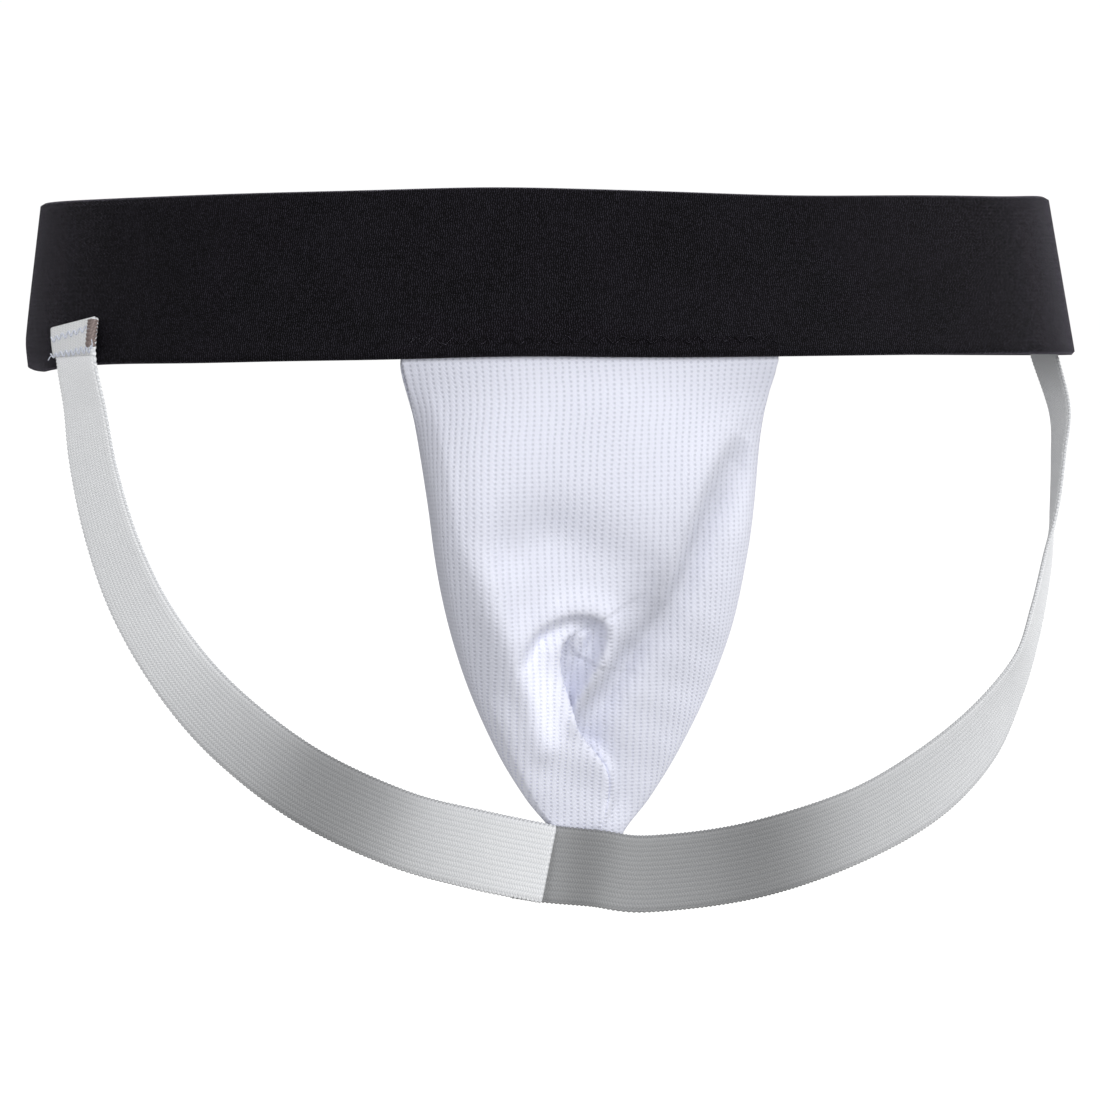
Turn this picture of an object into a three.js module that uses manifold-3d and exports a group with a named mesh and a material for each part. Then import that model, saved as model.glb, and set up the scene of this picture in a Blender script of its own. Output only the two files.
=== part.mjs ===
// Groin protector: an elastic supporter with a mesh pocket pouch and a removable hard cup.
// Millimetres, +Z up, -Y is the front. The origin is the centre of the waistband's ring.
import * as THREE from "three";
import { mergeVertices } from "three/addons/utils/BufferGeometryUtils.js";
import Module from "manifold-3d";

const wasm = await Module();
wasm.setup();

// Waistband: a wide elastic loop in its worn, oval shape, a little wider at its lower edge.
const BAND_HEIGHT = 50.8;
const BAND_THICKNESS = 2.4;
const BAND_HALF_WIDTH = 170.5;
const BAND_HALF_DEPTH = 118.5;
const BAND_FLARE_WIDTH = 4.5;
const BAND_FLARE_DEPTH = 3;
const BAND_SEGMENTS = 112;
const LAP_HALF_ANGLE = 0.14;
const LAP_THICKNESS = 1.6;
const LAP_COLUMNS = 8;
const LAP_STITCH_HALF_HEIGHT = 21;
const SEAM_STITCH_Z = -20;
const SEAM_STITCH_HALF_ANGLE = 0.33;

// Leg straps: ribbed elastic with its end folded under into a hem where it is sewn to the band.
const STRAP_WIDTH = 25;
const STRAP_THICKNESS = 1.6;
const HEM_THICKNESS = 3;
const HEM_STATIONS = 0.8;
const STRAP_STEPS = 44;
// Each stitch row's place, as a share of the strap's curve from its hem.
const LEFT_STITCH_ROWS = [0.022, 0.075];
const RIGHT_STITCH_ROWS = [0.018, 0.055];
const TIP_STITCH_TOP = 0.93;
const TIP_STITCH_LENGTH = 12;
const TIP_STITCH_SHARE_PER_MM = 0.0055;
const TIP_STITCH_ACROSS = 0.2;

// Pouch: two layers of mesh joined along their sides.
const MESH_THICKNESS = 1.2;
const LAYER_GAP = 2.9;
const SEAM_DEPTH = 2;
const PANEL_COLUMNS = 16;
const PANEL_ROWS = 20;
const FRONT_TURN = 0.97;
const BACK_PANEL_POWER = 9;
const HEM_TOP_Z = -12;
const HEM_BOTTOM_Z = -25.6;
const HEM_HALF_WIDTH = 58;
const BINDING_THICKNESS = 1;
const BINDING_LIFT = -2.4;
// The binding's place on the back panel, as shares of its width and height.
const BINDING_MARGIN = 0.05;
const BINDING_TOP = 0.01;
const BINDING_BOTTOM = 0.074;
const SIDE_SEAM_STEPS = 20;
const SIDE_SEAM_MARGIN = 0.03;
const SIDE_SEAM_INSET = 1;

// Threads.
const THREAD_RADIUS = 0.35;
const SEAM_THREAD_RADIUS = 0.45;
const THREAD_TENSION = 0.3;
const STITCH_PITCH = 2.5;
const BAND_STITCH_PITCH = 4;
const STITCH_HALF_HEIGHT = 1;
const WIDE_STITCH_HALF_HEIGHT = 2;
const STITCH_MARGIN = 1;

// The gap between pieces that touch on the real article.
const CLEARANCE = 0.35;

// Cup: a hard shell, wide at the top and narrow at the bottom, with a soft rim behind it.
const CUP_HALF_WIDTH = 38;
const CUP_HALF_HEIGHT = 53;
const CUP_DEPTH = 25.5;
const CUP_TOE_TAPER = 0.22;
const CUP_MIDDLE_WIDTH = 0.98;
const CUP_WIDTH_SLOPE = 0.3;
const CUP_WIDTH_ROUNDING = 0.08;
const CUP_WALL = 2.2;
const CUP_CENTRE_Z = -67;
const CUP_RIM_Y = -84.5;
const CUP_COLUMNS = 28;
const CUP_ROWS = 18;
const CUP_OUTLINE_POINTS = 40;
const FLANGE_WIDTH = 1.5;
const FLANGE_THICKNESS = 1.8;
const VENT_WIDTH = 3;
const VENT_CUT = 60;
const VENT_SETBACK = 2;
const VENTS = [
  { x: -20, z: -52, height: 20 },
  { x: -10, z: -60, height: 28 },
  { x: 0, z: -64, height: 34 },
  { x: 10, z: -60, height: 28 },
  { x: 20, z: -52, height: 20 },
];
const RIM_OUTSIDE = 2.2;
const RIM_INSIDE = -2.5;
const RIM_DEPTH = 3.2;

// A step along a surface's u or v, for its slopes, and the length that a unit of v runs past an end.
const SLOPE_STEP = 1e-3;
const PAST_END_RUN = 100;

// Stations down the pouch: its middle, half its width, and where the front, side seams and back lie.
// `round` shapes the front's section: 1 is a shallow arc, 0.5 an ellipse whose sides turn back.
const POUCH_STATIONS = [
  { z: -26.5, middle: 0, half: 57.5, front: -118, side: -110.5, back: -76, round: 1 },
  { z: -45, middle: 1, half: 53.5, front: -119, side: -98, back: -76, round: 0.6 },
  { z: -70, middle: 2.5, half: 50.5, front: -117.5, side: -88, back: -75, round: 0.5 },
  { z: -90, middle: 3, half: 48, front: -112.5, side: -80, back: -73, round: 0.5 },
  { z: -110, middle: 3.5, half: 44, front: -105, side: -74, back: -70, round: 0.5 },
  { z: -130, middle: 3.5, half: 37.5, front: -94, side: -69.5, back: -67, round: 0.5 },
  { z: -150, middle: 3.5, half: 28.5, front: -82, side: -65.5, back: -63.5, round: 0.5 },
  { z: -165, middle: 3.5, half: 19.5, front: -73.5, side: -65, back: -63, round: 0.5 },
  { z: -176, middle: 3.5, half: 11, front: -69.6, side: -66, back: -63.6, round: 0.5 },
  { z: -186, middle: 3.5, half: 8, front: -68.8, side: -66.4, back: -64, round: 0.5 },
];
const BACK_TOP = { z: -20, middle: 0, half: 52, front: -117, side: -109.1, back: -76, round: 1 };

// Each strap's centre line, and the direction from its rear or lower edge to its front or upper edge.
const LEFT_STRAP = [
  { at: [-156.8, -53.5, -12.5], across: [0.57, -0.82, 0] },
  { at: [-158.2, -55, -25], across: [0.57, -0.82, 0] },
  { at: [-155.5, -51.5, -41], across: [0.58, -0.82, 0] },
  { at: [-151.5, -46.5, -60], across: [0.6, -0.8, 0.02] },
  { at: [-146, -42, -83], across: [0.66, -0.74, 0.11] },
  { at: [-137, -38.5, -106], across: [0.68, -0.66, 0.33] },
  { at: [-123, -40, -128], across: [0.62, -0.55, 0.56] },
  { at: [-106, -44, -146], across: [0.55, -0.38, 0.74] },
  { at: [-83.5, -50, -162.5], across: [0.43, -0.24, 0.87] },
  { at: [-56, -58.5, -175], across: [0.3, -0.09, 0.95] },
  { at: [-31.5, -67.5, -181], across: [0.23, 0.06, 0.97] },
  { at: [-10.5, -74, -185], across: [0.21, 0.07, 0.98] },
];
const RIGHT_STRAP = [
  { at: [166.7, 9.6, -12.5], across: [0.12, -0.99, 0] },
  { at: [168.9, 9.6, -25], across: [0.12, -0.99, 0.02] },
  { at: [174.5, 9.5, -44.5], across: [0.03, -0.99, 0.09] },
  { at: [173.8, 8, -60], across: [-0.06, -0.99, 0.14] },
  { at: [172, 6, -77.5], across: [-0.14, -0.98, 0.17] },
  { at: [169, 3.5, -95], across: [-0.27, -0.92, 0.29] },
  { at: [163, -4, -115], across: [-0.28, -0.84, 0.47] },
  { at: [155, -13, -133], across: [-0.25, -0.74, 0.62] },
  { at: [139.5, -27.5, -151], across: [-0.35, -0.45, 0.82] },
  { at: [117, -44, -166], across: [-0.35, -0.22, 0.91] },
  { at: [89.5, -58, -177.5], across: [-0.24, -0.18, 0.95] },
  { at: [55, -68.5, -186], across: [-0.15, -0.08, 0.99] },
  { at: [22, -72.2, -189], across: [-0.02, -0.12, 0.99] },
  { at: [5, -71.6, -187], across: [0.1, -0.12, 0.98] },
  { at: [-9, -70.9, -185.5], across: [0.15, -0.05, 0.98] },
  { at: [-20, -67.9, -184], across: [0.2, 0, 0.98] },
];

const elastic = (color) => new THREE.MeshStandardMaterial({ color, roughness: 0.85, metalness: 0 });
const bandBlack = elastic(0x1f1d21);
const strapWhite = elastic(0xd3d5d8);
const meshWhite = elastic(0xe9eaec);
const threadWhite = elastic(0xf2f3f5);
const threadBlack = elastic(0x151416);
const cupPlastic = new THREE.MeshStandardMaterial({ color: 0xe4e6e6, roughness: 0.35, metalness: 0 });
const rimRubber = new THREE.MeshStandardMaterial({ color: 0x3a3c40, roughness: 0.7, metalness: 0 });

function solidFrom(geometry) {
  const plain = geometry.clone();
  plain.deleteAttribute("normal");
  plain.deleteAttribute("uv");
  const merged = mergeVertices(plain, 1e-3);
  return new wasm.Manifold(
    new wasm.Mesh({
      numProp: 3,
      vertProperties: merged.attributes.position.array,
      triVerts: new Uint32Array(merged.index.array),
    }),
  );
}

function geometryFrom(solid) {
  const mesh = solid.getMesh();
  const geometry = new THREE.BufferGeometry();
  geometry.setAttribute("position", new THREE.BufferAttribute(mesh.vertProperties, 3));
  geometry.setIndex(new THREE.BufferAttribute(mesh.triVerts, 1));
  geometry.computeVertexNormals();
  return geometry;
}

function moveVertices(geometry, place) {
  const position = geometry.getAttribute("position");
  const point = new THREE.Vector3();
  for (let i = 0; i < position.count; i += 1) {
    point.fromBufferAttribute(position, i);
    place(point);
    position.setXYZ(i, point.x, point.y, point.z);
  }
  return geometry;
}

// A closed sheet on surface(u, v), u across and v down. `thick` may change with v, and `lift` is
// how far its middle layer lies outside the surface.
function sheet(surface, thick, lift, columns, rows) {
  return moveVertices(new THREE.BoxGeometry(1, 1, 1, columns, rows, 1), (p) => {
    const u = p.x + 0.5;
    const v = 0.5 - p.y;
    const side = p.z;
    const toRight = surface(u + SLOPE_STEP, v).sub(surface(u - SLOPE_STEP, v));
    const toTop = surface(u, v - SLOPE_STEP).sub(surface(u, v + SLOPE_STEP));
    const normal = toRight.cross(toTop).normalize();
    p.copy(surface(u, v)).addScaledVector(normal, lift + side * thick(v));
  });
}

const constant = (value) => () => value;

// The band's outer half-axes at height z.
const bandWidthAt = (z) => BAND_HALF_WIDTH - (z / (BAND_HEIGHT / 2)) * BAND_FLARE_WIDTH;
const bandDepthAt = (z) => BAND_HALF_DEPTH - (z / (BAND_HEIGHT / 2)) * BAND_FLARE_DEPTH;

// A point `outside` the band's outer face, `angle` round from the back's centre.
function onBand(angle, z, outside) {
  const x = Math.sin(angle) * (bandWidthAt(z) + outside);
  const y = Math.cos(angle) * (bandDepthAt(z) + outside);
  return new THREE.Vector3(x, y, z);
}

function waistband() {
  const half = BAND_HEIGHT / 2;
  const outer = BAND_HALF_DEPTH;
  const inner = outer - BAND_THICKNESS;
  const profile = [
    new THREE.Vector2(inner, -half),
    new THREE.Vector2(outer, -half),
    new THREE.Vector2(outer, half),
    new THREE.Vector2(inner, half),
    new THREE.Vector2(inner, -half),
  ];
  const ring = new THREE.LatheGeometry(profile, BAND_SEGMENTS).rotateX(Math.PI / 2);
  moveVertices(ring, (p) => {
    const outside = Math.hypot(p.x, p.y) - outer;
    p.copy(onBand(Math.atan2(p.x, p.y), p.z, outside));
  });
  const lapped = sheet(
    (u, v) => onBand((0.5 - u) * 2 * LAP_HALF_ANGLE, (0.5 - v) * BAND_HEIGHT, 0),
    constant(LAP_THICKNESS * 2),
    0,
    LAP_COLUMNS,
    1,
  );
  return geometryFrom(solidFrom(ring).add(solidFrom(lapped)));
}

// A strap's centre line and width direction, both smooth through its stations.
function ribbon(stations) {
  const path = new THREE.CatmullRomCurve3(
    stations.map((s) => new THREE.Vector3(...s.at)),
    false,
    "catmullrom",
  );
  const across = new THREE.CatmullRomCurve3(
    stations.map((s) => new THREE.Vector3(...s.across)),
    false,
    "catmullrom",
  );
  return (u, v) => {
    const t = Math.min(Math.max(v, 0), 1);
    const tangent = path.getTangent(t);
    const width = across.getPoint(t);
    width.addScaledVector(tangent, -width.dot(tangent)).normalize();
    const beyond = (v - t) * path.getLength();
    return path.getPoint(t).addScaledVector(tangent, beyond).addScaledVector(width, (u - 0.5) * STRAP_WIDTH);
  };
}

// A strap's solid, thicker down to HEM_STATIONS, where its end is folded under.
function strap(surface, stations) {
  const hemEnd = HEM_STATIONS / (stations.length - 1);
  const thick = (v) => (v < hemEnd ? HEM_THICKNESS : STRAP_THICKNESS);
  return sheet(surface, thick, 0, 1, STRAP_STEPS);
}

function thread(points, radius) {
  const path = new THREE.CatmullRomCurve3(points, false, "catmullrom", THREAD_TENSION);
  const section = new THREE.Shape();
  section.absarc(0, 0, radius, 0, Math.PI * 2);
  return new THREE.ExtrudeGeometry(section, {
    steps: (points.length - 1) * 2,
    curveSegments: 3,
    bevelEnabled: false,
    extrudePath: path,
  });
}

// A zigzag row: `place(s, offset)` gives the point s mm along the row and offset mm to its side.
function zigzag(length, pitch, halfHeight, place) {
  const count = Math.round(length / (pitch / 2));
  const points = [];
  for (let i = 0; i <= count; i += 1) {
    points.push(place((i / count) * length, i % 2 ? halfHeight : -halfHeight));
  }
  return thread(points, THREAD_RADIUS);
}

// A stitch row across a strap's hem, on the face that `outward` (1 or -1) points to.
function hemStitch(surface, v, outward) {
  const lift = HEM_THICKNESS / 2 + THREAD_RADIUS + CLEARANCE;
  const length = STRAP_WIDTH - 2 * STITCH_MARGIN;
  return zigzag(length, STITCH_PITCH, STITCH_HALF_HEIGHT, (s, offset) => {
    const u = (STITCH_MARGIN + s) / STRAP_WIDTH;
    const right = surface(u + SLOPE_STEP, v).sub(surface(u - SLOPE_STEP, v)).normalize();
    const up = surface(u, v - SLOPE_STEP).sub(surface(u, v + SLOPE_STEP)).normalize();
    const normal = right.clone().cross(up);
    return surface(u, v).addScaledVector(up, offset).addScaledVector(normal, lift * outward);
  });
}

// The pouch's sizes at v from 0 at the top to 1 at the tip.
function pouchProfile(stations) {
  const curve = (first, second) =>
    new THREE.CatmullRomCurve3(
      stations.map((s) => new THREE.Vector3(s[first], s[second], s.z)),
      false,
      "catmullrom",
    );
  const outline = curve("half", "front");
  const inside = curve("side", "back");
  const shape = curve("round", "middle");
  return (v) => {
    const t = Math.min(Math.max(v, 0), 1);
    const a = outline.getPoint(t);
    const b = inside.getPoint(t);
    const c = shape.getPoint(t);
    const z = a.z + (t - v) * PAST_END_RUN;
    return { half: a.x, front: a.y, z, side: b.x, back: b.y, round: c.x, middle: c.y };
  };
}

const frontProfile = pouchProfile(POUCH_STATIONS);
const backProfile = pouchProfile([BACK_TOP, ...POUCH_STATIONS]);

function frontSurface(u, v) {
  const at = frontProfile(v);
  const t = Math.sin((u - 0.5) * Math.PI * FRONT_TURN);
  const bulge = Math.pow(1 - t * t, at.round);
  return new THREE.Vector3(at.middle + t * at.half, at.side + (at.front - at.side) * bulge, at.z);
}

function backSurface(u, v) {
  const at = backProfile(v);
  const t = 2 * u - 1;
  const bulge = 1 - Math.pow(Math.abs(t), BACK_PANEL_POWER);
  const edge = at.side + LAYER_GAP;
  return new THREE.Vector3(at.middle + t * at.half, edge + (at.back - edge) * bulge, at.z);
}

// The strip of mesh that is sewn inside the band.
function hemSurface(u, v) {
  const x = (2 * u - 1) * HEM_HALF_WIDTH;
  const z = HEM_TOP_Z + (HEM_BOTTOM_Z - HEM_TOP_Z) * v;
  const inside = -BAND_THICKNESS - CLEARANCE;
  const t = x / (bandWidthAt(z) + inside);
  return new THREE.Vector3(x, -(bandDepthAt(z) + inside) * Math.sqrt(1 - t * t), z);
}

// The elastic that edges the pocket's mouth, behind the back panel.
function bindingSurface(u, v) {
  const across = BINDING_MARGIN + u * (1 - 2 * BINDING_MARGIN);
  return backSurface(across, BINDING_TOP + v * (BINDING_BOTTOM - BINDING_TOP));
}

function sideSeam(sign) {
  const points = [];
  for (let i = 0; i <= SIDE_SEAM_STEPS; i += 1) {
    const at = frontProfile(SIDE_SEAM_MARGIN + (1 - 2 * SIDE_SEAM_MARGIN) * (i / SIDE_SEAM_STEPS));
    const x = at.middle + sign * (at.half - SIDE_SEAM_INSET);
    points.push(new THREE.Vector3(x, at.side + SEAM_DEPTH, at.z));
  }
  return thread(points, SEAM_THREAD_RADIUS);
}

// The cup's width factor at height h, from -1 at the bottom to 1 at the top.
const cupTaper = (h) => CUP_MIDDLE_WIDTH + CUP_WIDTH_SLOPE * h - CUP_WIDTH_ROUNDING * h * h;

function cupDome(inset) {
  const ball = new THREE.SphereGeometry(1, CUP_COLUMNS, CUP_ROWS).rotateX(Math.PI / 2);
  return moveVertices(ball, (p) => {
    const h = p.z;
    p.x *= (CUP_HALF_WIDTH - inset) * cupTaper(h);
    p.y = CUP_RIM_Y + p.y * (CUP_DEPTH - inset) * (1 + CUP_TOE_TAPER * Math.min(h, 0));
    p.z = CUP_CENTRE_Z + h * (CUP_HALF_HEIGHT - inset);
  });
}

function cupOutline(outside) {
  const points = [];
  for (let i = 0; i < CUP_OUTLINE_POINTS; i += 1) {
    const a = (i / CUP_OUTLINE_POINTS) * Math.PI * 2;
    const h = Math.sin(a);
    const x = (CUP_HALF_WIDTH + outside) * cupTaper(h) * Math.cos(a);
    points.push(new THREE.Vector2(x, CUP_CENTRE_Z + (CUP_HALF_HEIGHT + outside) * h));
  }
  return points;
}

// A ring that follows the cup's edge, from y = back towards the front by `depth`.
function cupRing(outside, inside, back, depth) {
  const shape = new THREE.Shape(cupOutline(outside));
  shape.holes.push(new THREE.Path(cupOutline(inside)));
  const ring = new THREE.ExtrudeGeometry(shape, { depth, bevelEnabled: false });
  return ring.rotateX(Math.PI / 2).translate(0, back, 0);
}

function cupShell() {
  const reach = 4 * CUP_HALF_HEIGHT;
  const front = new THREE.BoxGeometry(reach, reach, reach).translate(0, CUP_RIM_Y - reach / 2, CUP_CENTRE_Z);
  let shell = solidFrom(cupDome(0)).subtract(solidFrom(cupDome(CUP_WALL))).intersect(solidFrom(front));
  shell = shell.add(solidFrom(cupRing(FLANGE_WIDTH, -CUP_WALL, CUP_RIM_Y, FLANGE_THICKNESS)));
  for (const vent of VENTS) {
    const slot = new THREE.BoxGeometry(VENT_WIDTH, VENT_CUT, vent.height);
    slot.translate(vent.x, CUP_RIM_Y - FLANGE_THICKNESS - VENT_SETBACK - VENT_CUT / 2, vent.z);
    shell = shell.subtract(solidFrom(slot));
  }
  return geometryFrom(shell);
}

// Thread along the band: from angle to angle at height z, outside its face.
function bandStitch(fromAngle, toAngle, z) {
  const radius = bandDepthAt(z);
  const lift = THREAD_RADIUS + CLEARANCE;
  const length = Math.abs(toAngle - fromAngle) * radius;
  return zigzag(length, BAND_STITCH_PITCH, STITCH_HALF_HEIGHT, (s, offset) =>
    onBand(fromAngle + (toAngle - fromAngle) * (s / length), z + offset, lift),
  );
}

function lapStitch() {
  const lift = LAP_THICKNESS + THREAD_RADIUS + CLEARANCE;
  return zigzag(2 * LAP_STITCH_HALF_HEIGHT, BAND_STITCH_PITCH, WIDE_STITCH_HALF_HEIGHT, (s, offset) =>
    onBand(offset / BAND_HALF_DEPTH, LAP_STITCH_HALF_HEIGHT - s, lift),
  );
}

const leftSurface = ribbon(LEFT_STRAP);
const rightSurface = ribbon(RIGHT_STRAP);

// The stitch that joins the two straps' ends, on the right strap's rear face below the pouch's tip.
function tipStitch() {
  const lift = STRAP_THICKNESS / 2 + THREAD_RADIUS + CLEARANCE;
  return zigzag(TIP_STITCH_LENGTH, STITCH_PITCH, STITCH_HALF_HEIGHT, (s, offset) => {
    const u = TIP_STITCH_ACROSS + offset / STRAP_WIDTH;
    const v = TIP_STITCH_TOP + s * TIP_STITCH_SHARE_PER_MM;
    return rightSurface(u, v).add(new THREE.Vector3(0, lift, 0));
  });
}

const part = new THREE.Group();

function piece(name, geometry, material) {
  const mesh = new THREE.Mesh(geometry, material.clone());
  mesh.name = name;
  part.add(mesh);
}

const inwards = -MESH_THICKNESS / 2;
piece("waistband", waistband(), bandBlack);
piece("waistband_lap_stitch", lapStitch(), threadBlack);
piece(
  "pouch_seam_stitch",
  bandStitch(Math.PI + SEAM_STITCH_HALF_ANGLE, Math.PI - SEAM_STITCH_HALF_ANGLE, SEAM_STITCH_Z),
  threadBlack,
);
piece("pouch_hem", sheet(hemSurface, constant(MESH_THICKNESS), inwards, PANEL_COLUMNS, 1), meshWhite);
piece("left_leg_strap", strap(leftSurface, LEFT_STRAP), strapWhite);
piece("right_leg_strap", strap(rightSurface, RIGHT_STRAP), strapWhite);
piece("left_tab_stitch_upper", hemStitch(leftSurface, LEFT_STITCH_ROWS[0], 1), threadWhite);
piece("left_tab_stitch_lower", hemStitch(leftSurface, LEFT_STITCH_ROWS[1], 1), threadWhite);
piece("right_tab_stitch_upper", hemStitch(rightSurface, RIGHT_STITCH_ROWS[0], 1), threadWhite);
piece("right_tab_stitch_lower", hemStitch(rightSurface, RIGHT_STITCH_ROWS[1], 1), threadWhite);
piece(
  "pouch_front_panel",
  sheet(frontSurface, constant(MESH_THICKNESS), inwards, PANEL_COLUMNS, PANEL_ROWS),
  meshWhite,
);
piece(
  "pouch_back_panel",
  sheet(backSurface, constant(MESH_THICKNESS), inwards, PANEL_COLUMNS, PANEL_ROWS),
  meshWhite,
);
piece(
  "pocket_mouth_binding",
  sheet(bindingSurface, constant(BINDING_THICKNESS), BINDING_LIFT, PANEL_COLUMNS, 2),
  strapWhite,
);
piece("left_side_seam", sideSeam(-1), threadWhite);
piece("right_side_seam", sideSeam(1), threadWhite);
piece("tip_stitch", tipStitch(), threadWhite);
piece("cup_shell", cupShell(), cupPlastic);
piece("cup_rim", cupRing(RIM_OUTSIDE, RIM_INSIDE, CUP_RIM_Y + CLEARANCE + RIM_DEPTH, RIM_DEPTH), rimRubber);

export default part;
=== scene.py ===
"""Groin protector: the looks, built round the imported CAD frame.

Lengths are in millimetres until a mesh is made. -Y is the wearer's front, and +X the viewer's right.
"""

import math

import bmesh
import bpy
import numpy as np
from mathutils import Matrix, Vector


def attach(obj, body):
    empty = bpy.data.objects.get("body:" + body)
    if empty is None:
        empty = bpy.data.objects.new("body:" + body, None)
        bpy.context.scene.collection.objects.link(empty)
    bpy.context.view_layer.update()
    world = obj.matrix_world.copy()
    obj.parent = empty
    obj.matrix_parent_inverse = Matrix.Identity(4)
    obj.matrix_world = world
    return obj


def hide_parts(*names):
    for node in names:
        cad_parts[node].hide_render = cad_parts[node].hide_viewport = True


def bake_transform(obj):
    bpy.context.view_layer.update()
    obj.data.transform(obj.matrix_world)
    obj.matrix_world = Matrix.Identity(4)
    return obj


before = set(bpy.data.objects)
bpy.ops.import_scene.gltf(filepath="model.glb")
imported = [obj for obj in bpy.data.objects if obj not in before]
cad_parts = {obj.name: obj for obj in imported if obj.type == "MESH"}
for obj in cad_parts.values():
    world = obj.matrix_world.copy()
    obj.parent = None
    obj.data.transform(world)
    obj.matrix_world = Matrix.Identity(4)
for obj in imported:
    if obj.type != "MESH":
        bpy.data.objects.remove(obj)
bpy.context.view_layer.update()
MM = 0.001

# ---- sizes, as in the CAD source
BAND_HEIGHT = 50.8
BAND_THICKNESS = 2.4
BAND_HALF_WIDTH = 170.5
BAND_HALF_DEPTH = 118.5
BAND_FLARE_WIDTH = 4.5
BAND_FLARE_DEPTH = 3.0
STRAP_WIDTH = 25.0
STRAP_THICKNESS = 1.6

# how the cloth is made: distances between its holes, ribs, stitches and yarns
FABRIC_THICKNESS = 0.9
EYELETS_ACROSS = 2.2
EYELETS_DOWN = 1.43
RIB_PITCH = 1.56
STITCH_PITCH = 0.86
EDGE_LOOP_PITCH = 1.36
CORD_PITCH = 1.27
PICK_PITCH = 0.72
STRAP_STEP = 0.34
THREAD_RADIUS = 0.24

# the pouch from its seam to its tip: z, middle, half width, front y, side seam y, back y
POUCH = np.array(
    [
        (-26.5, 0, 57.5, -118, -110.5, -76),
        (-45, 1, 53.5, -119, -98, -76),
        (-70, 2.5, 50.5, -117.5, -88, -75),
        (-90, 3, 48, -112.5, -80, -73),
        (-110, 3.5, 44, -105, -74, -70),
        (-130, 3.5, 37.5, -94, -69.5, -67),
        (-150, 3.5, 28.5, -82, -65.5, -63.5),
        (-165, 3.5, 19.5, -73.5, -65, -63),
        (-176, 3.5, 11, -69.6, -66, -63.6),
        (-186, 3.5, 8, -68.8, -66.4, -64),
    ]
)
BACK_TOP = (-20, 0, 52, -117, -109.1, -76)
WHOLE_BACK = np.vstack([BACK_TOP, POUCH])
BACK_SEAM_ROOM = 2.9
BACK_POWER = 9

# the leg straps: points of the middle line, and the way across the width at each
LEFT_AT = [
    (-156.6, -53.5, -12.5), (-156.6, -55, -25), (-154.0, -51.5, -41), (-151.5, -46.5, -60),
    (-146, -42, -83), (-137, -38.5, -106), (-123, -40, -128), (-106, -44, -146),
    (-83.5, -50, -162.5), (-56, -58.5, -175), (-31.5, -67.5, -181), (-10.5, -74, -185),
]
LEFT_ACROSS = [
    (0.57, -0.82, 0), (0.5, -0.866, 0), (0.53, -0.848, 0), (0.6, -0.8, 0.02),
    (0.66, -0.74, 0.11), (0.68, -0.66, 0.33), (0.62, -0.55, 0.56), (0.55, -0.38, 0.74),
    (0.43, -0.24, 0.87), (0.3, -0.09, 0.95), (0.23, 0.06, 0.97), (0.21, 0.07, 0.98),
]
RIGHT_AT = [
    (166.7, 9.6, -12.5), (168.9, 9.6, -25), (174.5, 9.5, -44.5), (173.8, 8, -60),
    (172, 6, -77.5), (169, 3.5, -95), (163, -4, -115), (155, -13, -133),
    (139.5, -27.5, -151), (117, -44, -166), (89.5, -58, -177.5), (55, -68.5, -186),
    (22, -72.2, -189), (5, -71.6, -187), (-9, -70.9, -185.5), (-20, -67.9, -184),
]
RIGHT_ACROSS = [
    (0.12, -0.99, 0), (0.12, -0.99, 0.02), (0.03, -0.99, 0.09), (-0.06, -0.99, 0.14),
    (-0.14, -0.98, 0.17), (-0.27, -0.92, 0.29), (-0.28, -0.84, 0.47), (-0.25, -0.74, 0.62),
    (-0.35, -0.45, 0.82), (-0.35, -0.22, 0.91), (-0.24, -0.18, 0.95), (-0.15, -0.08, 0.99),
    (-0.02, -0.12, 0.99), (0.1, -0.12, 0.98), (0.15, -0.05, 0.98), (0.2, 0, 0.98),
]


# ---- small geometry tools
def smooth_curve(points, t):
    """A uniform Catmull-Rom curve through points, at t from 0 to 1. It runs on straight past its ends."""
    p = np.asarray(points, float)
    p = np.vstack([2 * p[0] - p[1], p, 2 * p[-1] - p[-2]])
    t = np.asarray(t, float)
    n = len(p) - 3
    x = np.clip(t, 0, 1) * n
    i = np.minimum(x.astype(int), n - 1)
    w = (x - i)[..., None]
    a, b, c, d = p[i], p[i + 1], p[i + 2], p[i + 3]
    return 0.5 * (2 * b + (c - a) * w + (2 * a - 5 * b + 4 * c - d) * w**2 + (3 * b - a - 3 * c + d) * w**3)


def stacked(*parts):
    """Coordinates put together, stretched to one shape."""
    return np.stack(np.broadcast_arrays(*parts), -1)


def angles_round(count):
    return np.linspace(0, 2 * np.pi, count, endpoint=False)


def unit(v):
    return v / np.maximum(np.linalg.norm(v, axis=-1, keepdims=True), 1e-12)


def hump(x, middle, reach):
    """A bell curve: 1 at middle, and 0.37 at reach to either side."""
    return np.exp(-(((x - middle) / reach) ** 2))


def smoothstep(x, lo, hi):
    w = np.clip((x - lo) / (hi - lo), 0, 1)
    return w * w * (3 - 2 * w)


def arc_lengths(points, axis):
    """Running length along one axis of a grid of points, from its start."""
    steps = np.linalg.norm(np.diff(points, axis=axis), axis=-1)
    shape = list(steps.shape)
    shape[axis] = 1
    return np.concatenate([np.zeros(shape), np.cumsum(steps, axis=axis)], axis=axis)


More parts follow.
